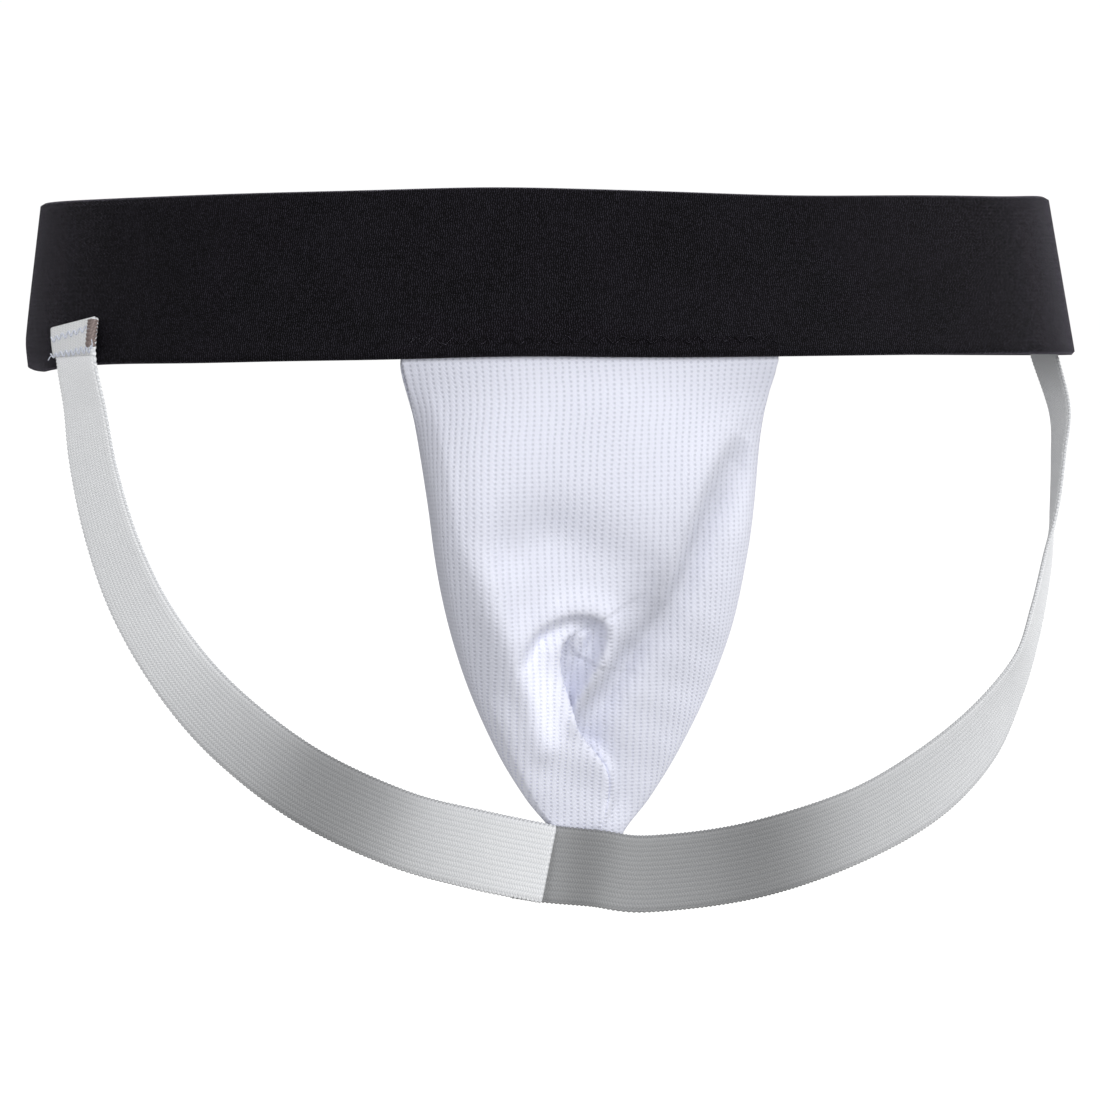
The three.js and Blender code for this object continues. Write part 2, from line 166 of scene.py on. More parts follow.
def new_object(name, vertices, faces, cloth=None, tint=None, material=None):
    mesh = bpy.data.meshes.new(name)
    mesh.from_pydata((np.asarray(vertices) * MM).tolist(), [], [list(map(int, f)) for f in faces])
    mesh.validate()
    mesh.shade_smooth()
    if cloth is not None:
        layer = mesh.attributes.new("cloth", "FLOAT_VECTOR", "POINT")
        layer.data.foreach_set("vector", np.asarray(cloth, np.float32).ravel())
    if tint is not None:
        layer = mesh.attributes.new("tint", "FLOAT", "POINT")
        layer.data.foreach_set("value", np.asarray(tint, np.float32).ravel())
    ob = bpy.data.objects.new(name, mesh)
    bpy.context.scene.collection.objects.link(ob)
    if material is not None:
        mesh.materials.append(material)
    return ob


def grid_normals(p, closed):
    if closed:
        across = np.roll(p, -1, axis=1) - np.roll(p, 1, axis=1)
    else:
        across = np.gradient(p, axis=1)
    down = np.gradient(p, axis=0)
    return unit(np.cross(down, across))


def thick_sheet(name, p, thickness, cloth, material, tint=None, closed=False, flip=False):
    """A closed sheet round the grid p[row, column], with rounded edges. Its outer face is on the side of
    down x across, or the other with flip."""
    rows, cols = p.shape[:2]
    normal = grid_normals(p, closed) * (-1 if flip else 1)
    half = np.broadcast_to(np.asarray(thickness, float) / 2, (rows, cols))[..., None]
    layers = [p + normal * half, p - normal * half]
    index = np.arange(rows * cols).reshape(rows, cols)
    verts = [layer.reshape(-1, 3) for layer in layers]
    count = rows * cols
    side = np.concatenate([cloth, np.ones((rows, cols, 1))], -1).reshape(-1, 3)
    back = side * (1, 1, -1)
    cloths = [side, back]
    tints = None if tint is None else [np.broadcast_to(tint, (rows, cols)).ravel()] * 2
    columns = cols if closed else cols - 1
    faces = []
    r, c = np.meshgrid(np.arange(rows - 1), np.arange(columns), indexing="ij")
    c2 = (c + 1) % cols
    quad = np.stack([index[r, c], index[r + 1, c], index[r + 1, c2], index[r, c2]], -1).reshape(-1, 4)
    top = quad if not flip else quad[:, ::-1]
    faces.append(top)
    faces.append(top[:, ::-1] + count)
    if closed:
        loops = [(index[0], -1), (index[-1], 1)]
    else:
        ring = np.concatenate([index[0], index[1:, -1], index[-1, -2::-1], index[-2:0:-1, 0]])
        loops = [(ring, 1)]
    for ring, way in loops:
        flat = p.reshape(-1, 3)[ring]
        n = normal.reshape(-1, 3)[ring]
        along = np.roll(flat, -1, axis=0) - np.roll(flat, 1, axis=0)
        outward = unit(np.cross(along, n)) * way * (-1 if not flip else 1)
        centre = p.reshape(-1, 3).mean(0)
        if not closed and np.sum(outward * (flat - centre)) < 0:
            outward = -outward
        if closed:
            outward = unit(p[0] - p[1]) if way < 0 else unit(p[-1] - p[-2])
        h = half.reshape(-1, 1)[ring]
        start = sum(len(v) for v in verts)
        verts.append(flat + outward * h * 0.8)
        cloths.append(side[ring] * (1, 1, 0))
        if tints is not None:
            tints.append(tints[0][ring])
        m = len(ring)
        k = np.arange(m)
        k2 = (k + 1) % m
        a = np.stack([ring[k], start + k, start + k2, ring[k2]], -1)
        b = np.stack([start + k, ring[k] + count, ring[k2] + count, start + k2], -1)
        if (way > 0) == flip:
            a, b = a[:, ::-1], b[:, ::-1]
        if not closed:
            a, b = a[:, ::-1], b[:, ::-1]
        faces += [a, b]
    ob = new_object(
        name,
        np.concatenate(verts),
        np.concatenate(faces),
        np.concatenate(cloths),
        None if tints is None else np.concatenate(tints),
        material,
    )
    bpy.context.view_layer.objects.active = ob
    fix_normals(ob)
    return ob


def fix_normals(ob):
    bm = bmesh.new()
    bm.from_mesh(ob.data)
    bmesh.ops.recalc_face_normals(bm, faces=bm.faces)
    bm.to_mesh(ob.data)
    bm.free()


def tube(name, path, radius, material, sides=8):
    """A closed thread of round section along path, with round ends."""
    p = np.asarray(path, float)
    tangent = unit(np.gradient(p, axis=0))
    up = np.zeros_like(p)
    ref = np.array([0.0, 0, 1] if abs(tangent[0][2]) < 0.9 else [0.0, 1, 0])
    for i in range(len(p)):
        ref = ref - tangent[i] * (ref @ tangent[i])
        ref = ref / np.linalg.norm(ref)
        up[i] = ref
    right = np.cross(tangent, up)
    radius = np.broadcast_to(np.asarray(radius, float), (len(p),)).copy()
    ends = [(0.45, 0.6), (0.85, 0.25)]
    a = angles_round(sides)
    sections = []
    for share, back in ends:
        sections.append((p[0] - tangent[0] * radius[0] * back, right[0], up[0], radius[0] * share))
    sections += [(p[i], right[i], up[i], radius[i]) for i in range(len(p))]
    for share, back in reversed(ends):
        sections.append((p[-1] + tangent[-1] * radius[-1] * back, right[-1], up[-1], radius[-1] * share))
    verts = []
    for centre, x, y, r in sections:
        verts.append(centre + r * (np.cos(a)[:, None] * x + np.sin(a)[:, None] * y))
    verts = np.concatenate(verts)
    m = len(sections)
    faces = []
    for i in range(m - 1):
        for j in range(sides):
            j2 = (j + 1) % sides
            faces.append((i * sides + j, i * sides + j2, (i + 1) * sides + j2, (i + 1) * sides + j))
    faces.append(tuple(reversed(range(sides))))
    faces.append(tuple((m - 1) * sides + j for j in range(sides)))
    length = np.repeat(np.arange(m) * 0.3, sides)
    turn = np.tile(a, m)
    cloth = np.stack([turn * radius.mean(), length, np.ones_like(length)], -1)
    ob = new_object(name, verts, faces, cloth, None, material)
    fix_normals(ob)
    return ob


# ---- materials
class Nodes:
    """Short names for building a material's nodes."""

    def __init__(self, name):
        self.material = bpy.data.materials.new(name)
        self.material.use_nodes = True
        self.tree = self.material.node_tree
        self.shader = self.tree.nodes["Principled BSDF"]

    def add(self, kind, **inputs):
        node = self.tree.nodes.new(kind)
        for key, value in inputs.items():
            self.put(node, key, value)
        return node

    def put(self, node, key, value):
        socket = node.inputs[key if isinstance(key, int) else key.replace("_", " ")]
        if isinstance(value, bpy.types.NodeSocket):
            self.tree.links.new(value, socket)
        else:
            socket.default_value = value

    def math(self, operation, *values, clamp=False):
        node = self.tree.nodes.new("ShaderNodeMath")
        node.operation = operation
        node.use_clamp = clamp
        for i, value in enumerate(values):
            self.put(node, i, value)
        return node.outputs[0]

    def plus(self, a, b):
        return self.math("ADD", a, b)

    def times(self, a, b):
        return self.math("MULTIPLY", a, b)

    def step(self, value, lo, hi):
        node = self.tree.nodes.new("ShaderNodeMapRange")
        node.interpolation_type = "SMOOTHSTEP"
        self.put(node, "Value", value)
        node.inputs["From Min"].default_value = lo
        node.inputs["From Max"].default_value = hi
        return node.outputs[0]

    def mix(self, factor, a, b, kind="MIX"):
        node = self.tree.nodes.new("ShaderNodeMix")
        node.data_type = "RGBA"
        node.blend_type = kind
        self.put(node, 0, factor)
        self.put(node, 6, a)
        self.put(node, 7, b)
        return node.outputs[2]

    def cloth(self):
        """Where a point lies on its own cloth, in millimetres: as a vector, across and along."""
        node = self.tree.nodes.new("ShaderNodeAttribute")
        node.attribute_name = "cloth"
        split = self.tree.nodes.new("ShaderNodeSeparateXYZ")
        self.tree.links.new(node.outputs["Vector"], split.inputs[0])
        return node.outputs["Vector"], split.outputs[0], split.outputs[1]

    def value_of(self, name):
        node = self.tree.nodes.new("ShaderNodeAttribute")
        node.attribute_name = name
        return node.outputs["Fac"]

    def tinted(self, colour, level):
        """The colour made lighter or darker by a level of which 1 leaves it as it is."""
        grey = self.add("ShaderNodeCombineColor", Red=level, Green=level, Blue=level)
        return self.mix(1.0, colour, grey.outputs[0], "MULTIPLY")

    def noise(self, vector, scale, detail=2.0):
        node = self.tree.nodes.new("ShaderNodeTexNoise")
        self.tree.links.new(vector, node.inputs["Vector"])
        node.inputs["Scale"].default_value = scale
        node.inputs["Detail"].default_value = detail
        return node.outputs["Fac"]

    def bump(self, height, strength, distance):
        node = self.tree.nodes.new("ShaderNodeBump")
        node.inputs["Strength"].default_value = strength
        node.inputs["Distance"].default_value = distance * MM
        self.put(node, "Height", height)
        self.tree.links.new(node.outputs[0], self.shader.inputs["Normal"])

    def wave(self, value, pitch, shift=0.0):
        """A sine of value with the given pitch, from 0 to 1."""
        turned = self.math("MULTIPLY_ADD", value, 2 * math.pi / pitch, shift)
        return self.math("MULTIPLY_ADD", self.math("SINE", turned), 0.5, 0.5)


def rgb(r, g, b):
    """A colour as seen on screen, 0 to 255, as a linear value for a socket."""

    def linear(v):
        v /= 255
        return v / 12.92 if v <= 0.04045 else ((v + 0.055) / 1.055) ** 2.4

    return (linear(r), linear(g), linear(b), 1.0)


def mesh_fabric():
    """White warp-knit eyelet mesh: small holes in straight columns, with looped ribs between them."""
    n = Nodes("mesh_fabric")
    vector, across, down = n.cloth()
    wobble = n.noise(vector, 0.25, 2)
    across = n.plus(across, n.math("MULTIPLY_ADD", wobble, 0.9, -0.45))
    column = n.math("DIVIDE", across, EYELETS_ACROSS)
    fu = n.math("SUBTRACT", n.math("FRACT", column), 0.5)
    lag = n.times(n.math("FLOOR", column), 0.06)
    row = n.plus(n.math("DIVIDE", down, EYELETS_DOWN), lag)
    fv = n.math("SUBTRACT", n.math("FRACT", row), 0.5)
    du = n.times(fu, EYELETS_ACROSS)
    dv = n.times(fv, EYELETS_DOWN)
    far = n.math("SQRT", n.plus(n.times(du, du), n.times(dv, dv)))
    hole = n.math("SUBTRACT", 1.0, n.step(far, 0.14, 0.62))
    rib = n.math("MULTIPLY_ADD", n.math("COSINE", n.times(column, 2 * math.pi)), 0.5, 0.5)
    off_centre = n.math("ABSOLUTE", fu)
    chain = n.wave(n.plus(down, n.times(off_centre, 2.4)), EYELETS_DOWN)
    height = n.plus(n.times(rib, 0.35), n.times(chain, 0.3))
    height = n.math("SUBTRACT", height, n.times(hole, 1.0))
    fuzz = n.noise(vector, 5.0, 3)
    height = n.plus(height, n.times(fuzz, 0.25))
    large = n.noise(vector, 0.05, 1)
    base = n.mix(large, rgb(234, 236, 250), rgb(239, 241, 254))
    # painted shade: the eyelet holes are greyed as if shade showed through them
    base = n.mix(n.times(hole, 0.4), base, rgb(165, 169, 186))
    base = n.mix(n.times(chain, 0.10), base, rgb(252, 252, 255))
    stroke = n.wave(n.plus(down, n.times(off_centre, 2.9)), EYELETS_DOWN / 2)
    base = n.mix(n.times(stroke, 0.3), base, rgb(214, 217, 232))
    # the tint attribute holds the light and shade painted on the front panel's folds
    base = n.tinted(base, n.plus(n.value_of("tint"), 1.0))
    n.put(n.shader, "Base Color", base)
    n.put(n.shader, "Roughness", n.math("MULTIPLY_ADD", fuzz, 0.2, 0.72))
    n.shader.inputs["Sheen Weight"].default_value = 0.12
    n.shader.inputs["Sheen Roughness"].default_value = 0.5
    n.bump(height, 0.55, 0.28)
    return n.material


def strap_elastic():
    """Knitted elastic: lengthwise ribs over fine slanted stitches, with painted shade between the ribs and in
    the stitches' hollows.
    """
    n = Nodes("strap_elastic")
    vector, across, along = n.cloth()
    rib = n.wave(across, RIB_PITCH)
    groove = n.step(n.math("SUBTRACT", 1.0, rib), 0.55, 1.0)
    slant = n.times(n.math("PINGPONG", across, RIB_PITCH), 0.55)
    stitch = n.wave(n.plus(along, slant), STITCH_PITCH)
    fine = n.wave(n.math("SUBTRACT", across, n.times(along, 0.15)), 0.52)
    fuzz = n.noise(vector, 4.0, 3)
    patch = n.noise(vector, 0.08, 2)
    height = n.plus(n.times(rib, 0.5), n.times(stitch, 0.55))
    height = n.plus(height, n.times(fine, 0.15))
    height = n.plus(height, n.times(fuzz, 0.3))
    base = n.mix(patch, rgb(227, 228, 230), rgb(234, 235, 236))
    # painted shade in the grooves between the ribs and in the hollows of the stitches
    base = n.mix(n.times(groove, 0.22), base, rgb(170, 174, 180))
    base = n.mix(n.times(n.math("SUBTRACT", 1.0, stitch), 0.28), base, rgb(160, 163, 168))
    # the tint attribute holds the painted light and shade along the strap, times the darker gaps of the edge
    # loops
    base = n.tinted(base, n.value_of("tint"))
    n.put(n.shader, "Base Color", base)
    n.put(n.shader, "Roughness", n.math("MULTIPLY_ADD", fuzz, 0.2, 0.62))
    n.shader.inputs["Sheen Weight"].default_value = 0.1
    n.bump(height, 0.6, 0.22)
    return n.material


def band_elastic():
    """Black woven elastic: fine crosswise picks and lengthwise rubber cords, with paler flecks of yarn."""
    n = Nodes("waistband_elastic")
    vector, along, up = n.cloth()
    cord = n.wave(up, CORD_PITCH)
    slant = n.times(n.math("PINGPONG", up, CORD_PITCH), 0.3)
    pick = n.wave(n.plus(along, slant), PICK_PITCH)
    fine = n.wave(n.plus(n.times(along, 0.55), up), 0.6)
    fuzz = n.noise(vector, 2.4, 4)
    grain = n.noise(vector, 4.6, 2)
    cloud = n.noise(vector, 0.05, 3)
    height = n.plus(n.times(cord, 0.4), n.times(pick, 0.5))
    height = n.plus(height, n.times(fine, 0.25))
    height = n.plus(height, n.times(fuzz, 1.1))
    base = n.mix(n.step(cloud, 0.35, 0.65), rgb(5, 4, 6), rgb(10, 8, 12))
    speckle = n.plus(grain, fuzz)
    flecks = n.step(n.times(speckle, n.math("MULTIPLY_ADD", pick, 0.35, 0.65)), 0.8, 1.2)
    base = n.mix(flecks, base, rgb(50, 48, 56))
    n.shader.inputs["Specular IOR Level"].default_value = 0.1
    n.put(n.shader, "Base Color", base)
    n.put(n.shader, "Roughness", n.math("MULTIPLY_ADD", fuzz, 0.25, 0.72))
    n.shader.inputs["Sheen Weight"].default_value = 0.34
    n.shader.inputs["Sheen Roughness"].default_value = 0.22
    n.shader.inputs["Sheen Tint"].default_value = rgb(196, 190, 208)
    n.bump(height, 0.7, 0.24)
    return n.material


def thread(name, colour, dark):
    """Twisted sewing thread."""
    n = Nodes(name)
    vector, turn, along = n.cloth()
    twist = n.wave(n.plus(along, n.times(turn, 1.4)), 0.9)
    fuzz = n.noise(vector, 3.0, 2)
    n.put(n.shader, "Base Color", n.mix(n.times(twist, 0.5), colour, dark))
    n.put(n.shader, "Roughness", n.math("MULTIPLY_ADD", fuzz, 0.25, 0.5))
    n.bump(n.plus(twist, n.times(fuzz, 0.4)), 0.5, 0.12)
    return n.material


def moulded_plastic():
    """Satin moulded plastic with a faint orange peel and flow marks."""
    n = Nodes("cup_plastic")
    place = n.tree.nodes.new("ShaderNodeTexCoord").outputs["Object"]
    grain = n.noise(place, 2600, 3)
    flow = n.noise(place, 38, 2)
    n.put(n.shader, "Base Color", n.mix(flow, rgb(222, 224, 224), rgb(232, 233, 231)))
    n.put(n.shader, "Roughness", n.math("MULTIPLY_ADD", flow, 0.18, 0.28))
    n.shader.inputs["Subsurface Weight"].default_value = 0.05
    n.shader.inputs["Subsurface Radius"].default_value = (0.003, 0.003, 0.003)
    n.bump(n.plus(grain, n.times(flow, 2.0)), 0.25, 0.1)
    return n.material


def rim_rubber():
    """Soft moulded rubber, slightly dusty."""
    n = Nodes("cup_rim_rubber")
    place = n.tree.nodes.new("ShaderNodeTexCoord").outputs["Object"]
    grain = n.noise(place, 1800, 3)
    dust = n.noise(place, 60, 3)
    n.put(n.shader, "Base Color", n.mix(dust, rgb(52, 54, 58), rgb(70, 72, 76)))
    n.put(n.shader, "Roughness", n.math("MULTIPLY_ADD", dust, 0.25, 0.55))
    n.bump(grain, 0.3, 0.12)
    return n.material


FABRIC = mesh_fabric()
STRAP = strap_elastic()
BAND = band_elastic()
WHITE_THREAD = thread("white_thread", rgb(236, 240, 250), rgb(196, 204, 226))
BLACK_THREAD = thread("black_thread", rgb(14, 12, 16), rgb(6, 5, 7))
BLACK_THREAD.node_tree.nodes["Principled BSDF"].inputs["Specular IOR Level"].default_value = 0.12
EDGE_THREAD = thread("edge_thread", rgb(150, 136, 132), rgb(58, 42, 42))
PLASTIC = moulded_plastic()
RUBBER = rim_rubber()


def finished(ob, body, slot, *nodes):
    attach(ob, body)
    if nodes:
        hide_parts(*nodes)
    return ob


# ---- waistband
def band_width_at(z):
    return BAND_HALF_WIDTH - z / (BAND_HEIGHT / 2) * BAND_FLARE_WIDTH


def band_depth_at(z):
    return BAND_HALF_DEPTH - z / (BAND_HEIGHT / 2) * BAND_FLARE_DEPTH


def on_band(angle, z, outside):
    """A point outside the band's outer face, at an angle round from the back's centre."""
    angle, z, outside = np.broadcast_arrays(angle, z, outside)
    return np.stack(
        [np.sin(angle) * (band_width_at(z) + outside), np.cos(angle) * (band_depth_at(z) + outside), z], -1
    )


LEFT_END = math.radians(263)
HALF_BAND = BAND_HEIGHT / 2
BAND_EDGE_ROUNDING = 0.9


def make_waistband():
    around, up = 720, 26
    angle = angles_round(around)[None, :]
    z = np.linspace(HALF_BAND - BAND_EDGE_ROUNDING, BAND_EDGE_ROUNDING - HALF_BAND, up)[:, None]
    upper = np.clip(0.5 + z / 50, 0, 1)
    outside = -BAND_THICKNESS / 2 + 0 * angle + 0 * z
    # the lower corner at the left end curls in, and the upper one stands out
    outside = outside - 4.5 * hump(angle, LEFT_END, 0.16) * np.clip((-z - 16) / 9.4, 0, 1) ** 2
    outside = outside + 2.4 * hump(angle, math.radians(266), 0.3) * upper
    p = on_band(angle, z, outside)
    # the free edges of the elastic wave a little
    x = p[..., 0]
    on_front = smoothstep(-p[..., 1], -20, 40)
    p[..., 2] += on_front * (
        upper * (0.6 * hump(x, -31, 28) - 1.25 * hump(x, 62, 42) + hump(x, 160, 16))
        + (1 - upper) * (0.9 * hump(x, -24, 34) - 0.7 * hump(x, -125, 28))
    )
    p[..., 2] += 0.35 * np.sin(3 * angle + 0.6) * np.abs(z / HALF_BAND) * np.sign(-z)
    sag = hump(angle, math.radians(262), 0.36)
    p[..., 2] -= 4.2 * sag * np.clip(-z / HALF_BAND, 0, 1) ** 2
    p[..., 2] += 0.6 * sag * np.clip(z / HALF_BAND, 0, 1)
    girth = arc_lengths(on_band(angle, 0 * angle, 0 * angle), 1)[0]
    cloth = np.stack([np.broadcast_to(girth, (up, around)), np.broadcast_to(z, (up, around))], -1)
    ring = thick_sheet("band_elastic", p, BAND_THICKNESS, cloth, BAND, closed=True, flip=True)
    return finished(ring, "waistband", "waistband_elastic", "waistband")


band = make_waistband()


def make_band_lap():
    """The outer end of the elastic, sewn over the start of the loop at the back."""
    angle = np.linspace(-0.14, 0.14, 60)[None, :]
    z = np.linspace(HALF_BAND, -HALF_BAND, 26)[:, None]
    edge = 1 - smoothstep(np.abs(angle), 0.128, 0.14)
    p = on_band(angle, z, 0.25 + 0.6 * edge + 0 * z)
    cloth = stacked(angle * 118 + 300, z)
    lap = thick_sheet("waistband_lap", p, 1.0, cloth, BAND, flip=True)
    return finished(lap, "waistband", "waistband_elastic")


make_band_lap()


RAGGED = np.random.default_rng(7).uniform(-1, 1, 400)


def zigzag_path(length, pitch, half, place, rough=0.12):
    """Points of a zigzag row: place(s, offset, lift) gives one, s along the row."""
    count = int(round(length / (pitch / 2)))
    points = []
    per_stitch = 6
    for i in range(count * per_stitch + 1):
        s = i / per_stitch
        stitch = int(s)
        share = s - stitch
        start = half if stitch % 2 else -half
        swing = start - 2 * start * (0.5 - 0.5 * math.cos(math.pi * share))
        lift = math.sin(math.pi * share)
        points.append(place((s / count) * length, swing + RAGGED[stitch % len(RAGGED)] * rough, lift))
    return np.array(points)


def make_seam_row():
    """The row that holds the pouch's hem, black on black across the band's front."""
    start, end, z = math.pi + 0.33, math.pi - 0.33, -20
    length = (start - end) * float(band_depth_at(z))

    def place(s, offset, lift):
        return on_band(start + (end - start) * s / length, z + offset, 0.28 + 0.12 * lift)

    path = zigzag_path(length, 4.0, 1.0, place)
    finished(tube("seam_zigzag", path, THREAD_RADIUS, BAND), "waistband", "black_thread", "pouch_seam_stitch")


def make_lap_row():
    def place(s, offset, lift):
        return on_band(-0.02 + offset / BAND_HALF_DEPTH, 22 - s, 1.62 + 0.15 * lift)

    thread_row = tube("lap_zigzag", zigzag_path(44, 3.2, 2.0, place), 0.28, BLACK_THREAD)
    finished(thread_row, "waistband", "black_thread", "waistband_lap_stitch")


make_seam_row()
make_lap_row()


# ---- leg straps
class Strap:
    """A leg strap's route: its middle line, and the way across its width."""

    def __init__(self, at, across):
        self.at, self.across = at, across
        t = np.linspace(0, 1, 4000)
        length = arc_lengths(smooth_curve(at, t), 0)
        self.lengths = np.linspace(0, length[-1], int(length[-1] / STRAP_STEP) + 1)
        self.t = np.interp(self.lengths, length, t)

    def frame(self, t):
        """The middle line at t, with unit vectors along it, across it and out of its outer face."""
        e = 1e-3
        p = smooth_curve(self.at, t)
        ahead, behind = np.clip(t + e, 0, 1), np.clip(t - e, 0, 1)
        tangent = unit(smooth_curve(self.at, ahead) - smooth_curve(self.at, behind))
        width = smooth_curve(self.across, t)
        width = unit(width - tangent * np.sum(width * tangent, -1, keepdims=True))
        return p, tangent, width, np.cross(width, -tangent)

    def frame_at(self, length):
        return self.frame(np.interp(length, self.lengths, self.t))


def make_strap(name, strap, painted_shading_stops, trim=0):
    """The webbing of a strap, less its first `trim` steps."""
    t, length = strap.t[trim:], strap.lengths[trim:]
    p, _, width, normal = strap.frame(t)
    edge_columns = np.array([0.1, 0.3, 0.5, 0.65, 0.8, 0.9, 0.95, 0.985, 1])
    u = np.concatenate([-edge_columns[::-1], edge_columns])
    # the weft turns back in small loops along both edges
    turn = 2 * np.pi * length / EDGE_LOOP_PITCH
    half = STRAP_WIDTH / 2 - 0.35 + 0.06 * np.sin(length / 9.0)[:, None]
    loops = 0.16 * np.sin(turn)[:, None]
    reach = u[None, :] * half + np.sign(u)[None, :] * loops * (np.abs(u)[None, :] > 0.97)
    grid = p[:, None, :] + width[:, None, :] * reach[..., None]
    # a soft elastic cups a little across its width, away from its sewn ends
    cup = 0.45 * (1 - u**2)[None, :] * smoothstep(length, 14, 40)[:, None]
    cup = cup * (1 - smoothstep(length, length[-1] - 40, length[-1] - 6))[:, None]
    grid = grid + normal[:, None, :] * cup[..., None]
    edge = 1 - 0.45 * smoothstep(np.abs(u), 0.9, 1.0)[None, :]
    thick = STRAP_THICKNESS * edge * np.ones((len(t), 1))
    thick = thick + 0.22 * np.cos(turn)[:, None] * (np.abs(u)[None, :] > 0.94)
    cloth = stacked(reach + STRAP_WIDTH / 2, length[:, None])
    places, levels = np.array(painted_shading_stops).T
    # painted light and shade along the strap's length, from its stops
    painted_shading = smooth_curve(levels[:, None], np.interp(t, places, np.linspace(0, 1, len(painted_shading_stops))))
    gaps = (0.5 - 0.5 * np.sin(turn))[:, None]
    tint = painted_shading * (1 - gaps * (0.12 * (u < -0.97) + 0.32 * (u > 0.96))[None, :])
    return thick_sheet(name, grid, thick, cloth, STRAP, tint=tint)


# how pale each strap is along its length: painted light and shade where the elastic turns toward and away
# from the lamps
LEFT_PAINTED_SHADING = [
    (0, 1.3), (0.06, 1.5), (0.2, 1.5), (0.4, 1.42), (0.52, 1.22), (0.6, 0.94),
    (0.66, 0.72), (0.72, 0.46), (0.78, 0.5), (0.85, 0.89), (0.93, 1.08), (1, 1.18),
]
RIGHT_PAINTED_SHADING = [
    (0, 0.68), (0.07, 0.74), (0.12, 1.3), (0.18, 1.32), (0.24, 1.3), (0.3, 1.3), (0.4, 1.2), (0.5, 1.03),
    (0.6, 0.83), (0.66, 0.69), (0.72, 0.33), (0.78, 0.45), (0.83, 0.5), (0.88, 0.36), (0.93, 0.45), (1, 0.4),
]
LEFT = Strap(LEFT_AT, LEFT_ACROSS)
RIGHT = Strap(RIGHT_AT, RIGHT_ACROSS)
left_strap = make_strap("left_strap_elastic", LEFT, LEFT_PAINTED_SHADING, trim=4)
right_strap = make_strap("right_strap_elastic", RIGHT, RIGHT_PAINTED_SHADING)
for ob, node in ((left_strap, "left_leg_strap"), (right_strap, "right_leg_strap")):
    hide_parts(node)
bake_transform(left_strap)
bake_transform(right_strap)


# ---- hems and stitches of the straps
STRAP_HEM_THICKNESS = 1.1
STITCH_LIFT = 1.62


def make_hem(name, strap, length, outward, painted_shading, top=0.2):
    """The folded end of a strap: a second layer that is turned under where it is sewn to the band."""
    s = np.linspace(top, length, 40)
    p, tangent, width, normal = strap.frame_at(s)
    lift = 0.95 * (1 - smoothstep(s, length - 1.2, length) * 0.4)
    u = np.linspace(-1, 1, 30)
    grid = p[:, None, :] + width[:, None, :] * (u[None, :, None] * (STRAP_WIDTH / 2 - 0.5))
    skew = 0.25 * u[None, :] * (1 - s / length)[:, None]
    grid = grid - tangent[:, None, :] * skew[..., None]
    grid = grid + normal[:, None, :] * outward * lift[:, None, None]
    cloth = stacked(u[None, :] * 12 + 12.5, s[:, None])
    hem = thick_sheet(name, grid, STRAP_HEM_THICKNESS, cloth, STRAP, tint=painted_shading)
    return finished(hem, "waistband", "strap_elastic")


# the number before top is each hem's painted light, matched to the painted light at the start of its strap
left_hem = make_hem("left_strap_hem", LEFT, 11.4, 1, 1.2, top=1.2)
right_hem = make_hem("right_strap_hem", RIGHT, 11.0, -1, 1.0)


def strap_row(name, strap, along, outward, node, reach=11.8, slope=0.0):
    """A zigzag row across a strap, at a length along it."""

    def place(s, offset, lift):
        x = -reach + s
        p, _, width, normal = strap.frame_at(np.array([along + offset - slope * x]))
        return (p + width * x + normal * outward * (STITCH_LIFT + 0.12 * lift))[0]

    path = zigzag_path(2 * reach, 3.3, 0.8, place, 0.25)
    return finished(tube(name, path, THREAD_RADIUS, WHITE_THREAD), "waistband", "white_thread", node)


strap_row("left_upper_zigzag", LEFT, 4.6, 1, "left_tab_stitch_upper", slope=0.02)
strap_row("left_lower_zigzag", LEFT, 10.4, 1, "left_tab_stitch_lower", reach=13.0, slope=0.03)
strap_row("right_upper_zigzag", RIGHT, 3.4, -1, "right_tab_stitch_upper")
strap_row("right_lower_zigzag", RIGHT, 9.2, -1, "right_tab_stitch_lower")


def make_tab_edge():
    """The sewn-over side of the left strap's folded end: a narrow, brown-grey serrated strip."""
    s = np.linspace(1.7, 9.4, 90)
    p, _, width, normal = LEFT.frame_at(s)
    u = np.linspace(0, 1, 9)[None, :]
    stitch = np.sin(np.pi * s / 1.15)[:, None]
    x = 10.0 + u * (3.0 - 0.5 * np.abs(stitch))
    lift = STITCH_LIFT + 0.35 * stitch**2 - 1.5 * smoothstep(u, 0.75, 1.0)
    grid = p[:, None, :] + width[:, None, :] * x[..., None] + normal[:, None, :] * lift[..., None]
    cloth = stacked(u * 4, s[:, None])
    return finished(thick_sheet("left_tab_edge", grid, 0.5, cloth, EDGE_THREAD), "waistband", "strap_elastic")


tab_edge = make_tab_edge()


def loose_tail(name, along, x, points):
    """A short loose thread end beside the left strap's hem: points are (across, along, out)."""
    p, tangent, width, normal = (v[0] for v in LEFT.frame_at(np.array([along])))
    path = [p + width * (x + a) + tangent * b + normal * (1.5 + c) for a, b, c in points]
    dense = smooth_curve(np.array(path), np.linspace(0, 1, 30))
    return finished(tube(name, dense, 0.16, WHITE_THREAD), "waistband", "white_thread")


loose_tail("left_tail_front", 9.6, 12.4, [(0, 0, 0), (0.9, 0.6, 0.3), (1.5, -0.6, 0.4), (1.2, -2.2, 0.3)])
loose_tail("left_tail_rear", 10.8, -12.4, [(0, 0, 0), (-1.2, 0.5, 0.2), (-2.2, 1.4, 0.3)])


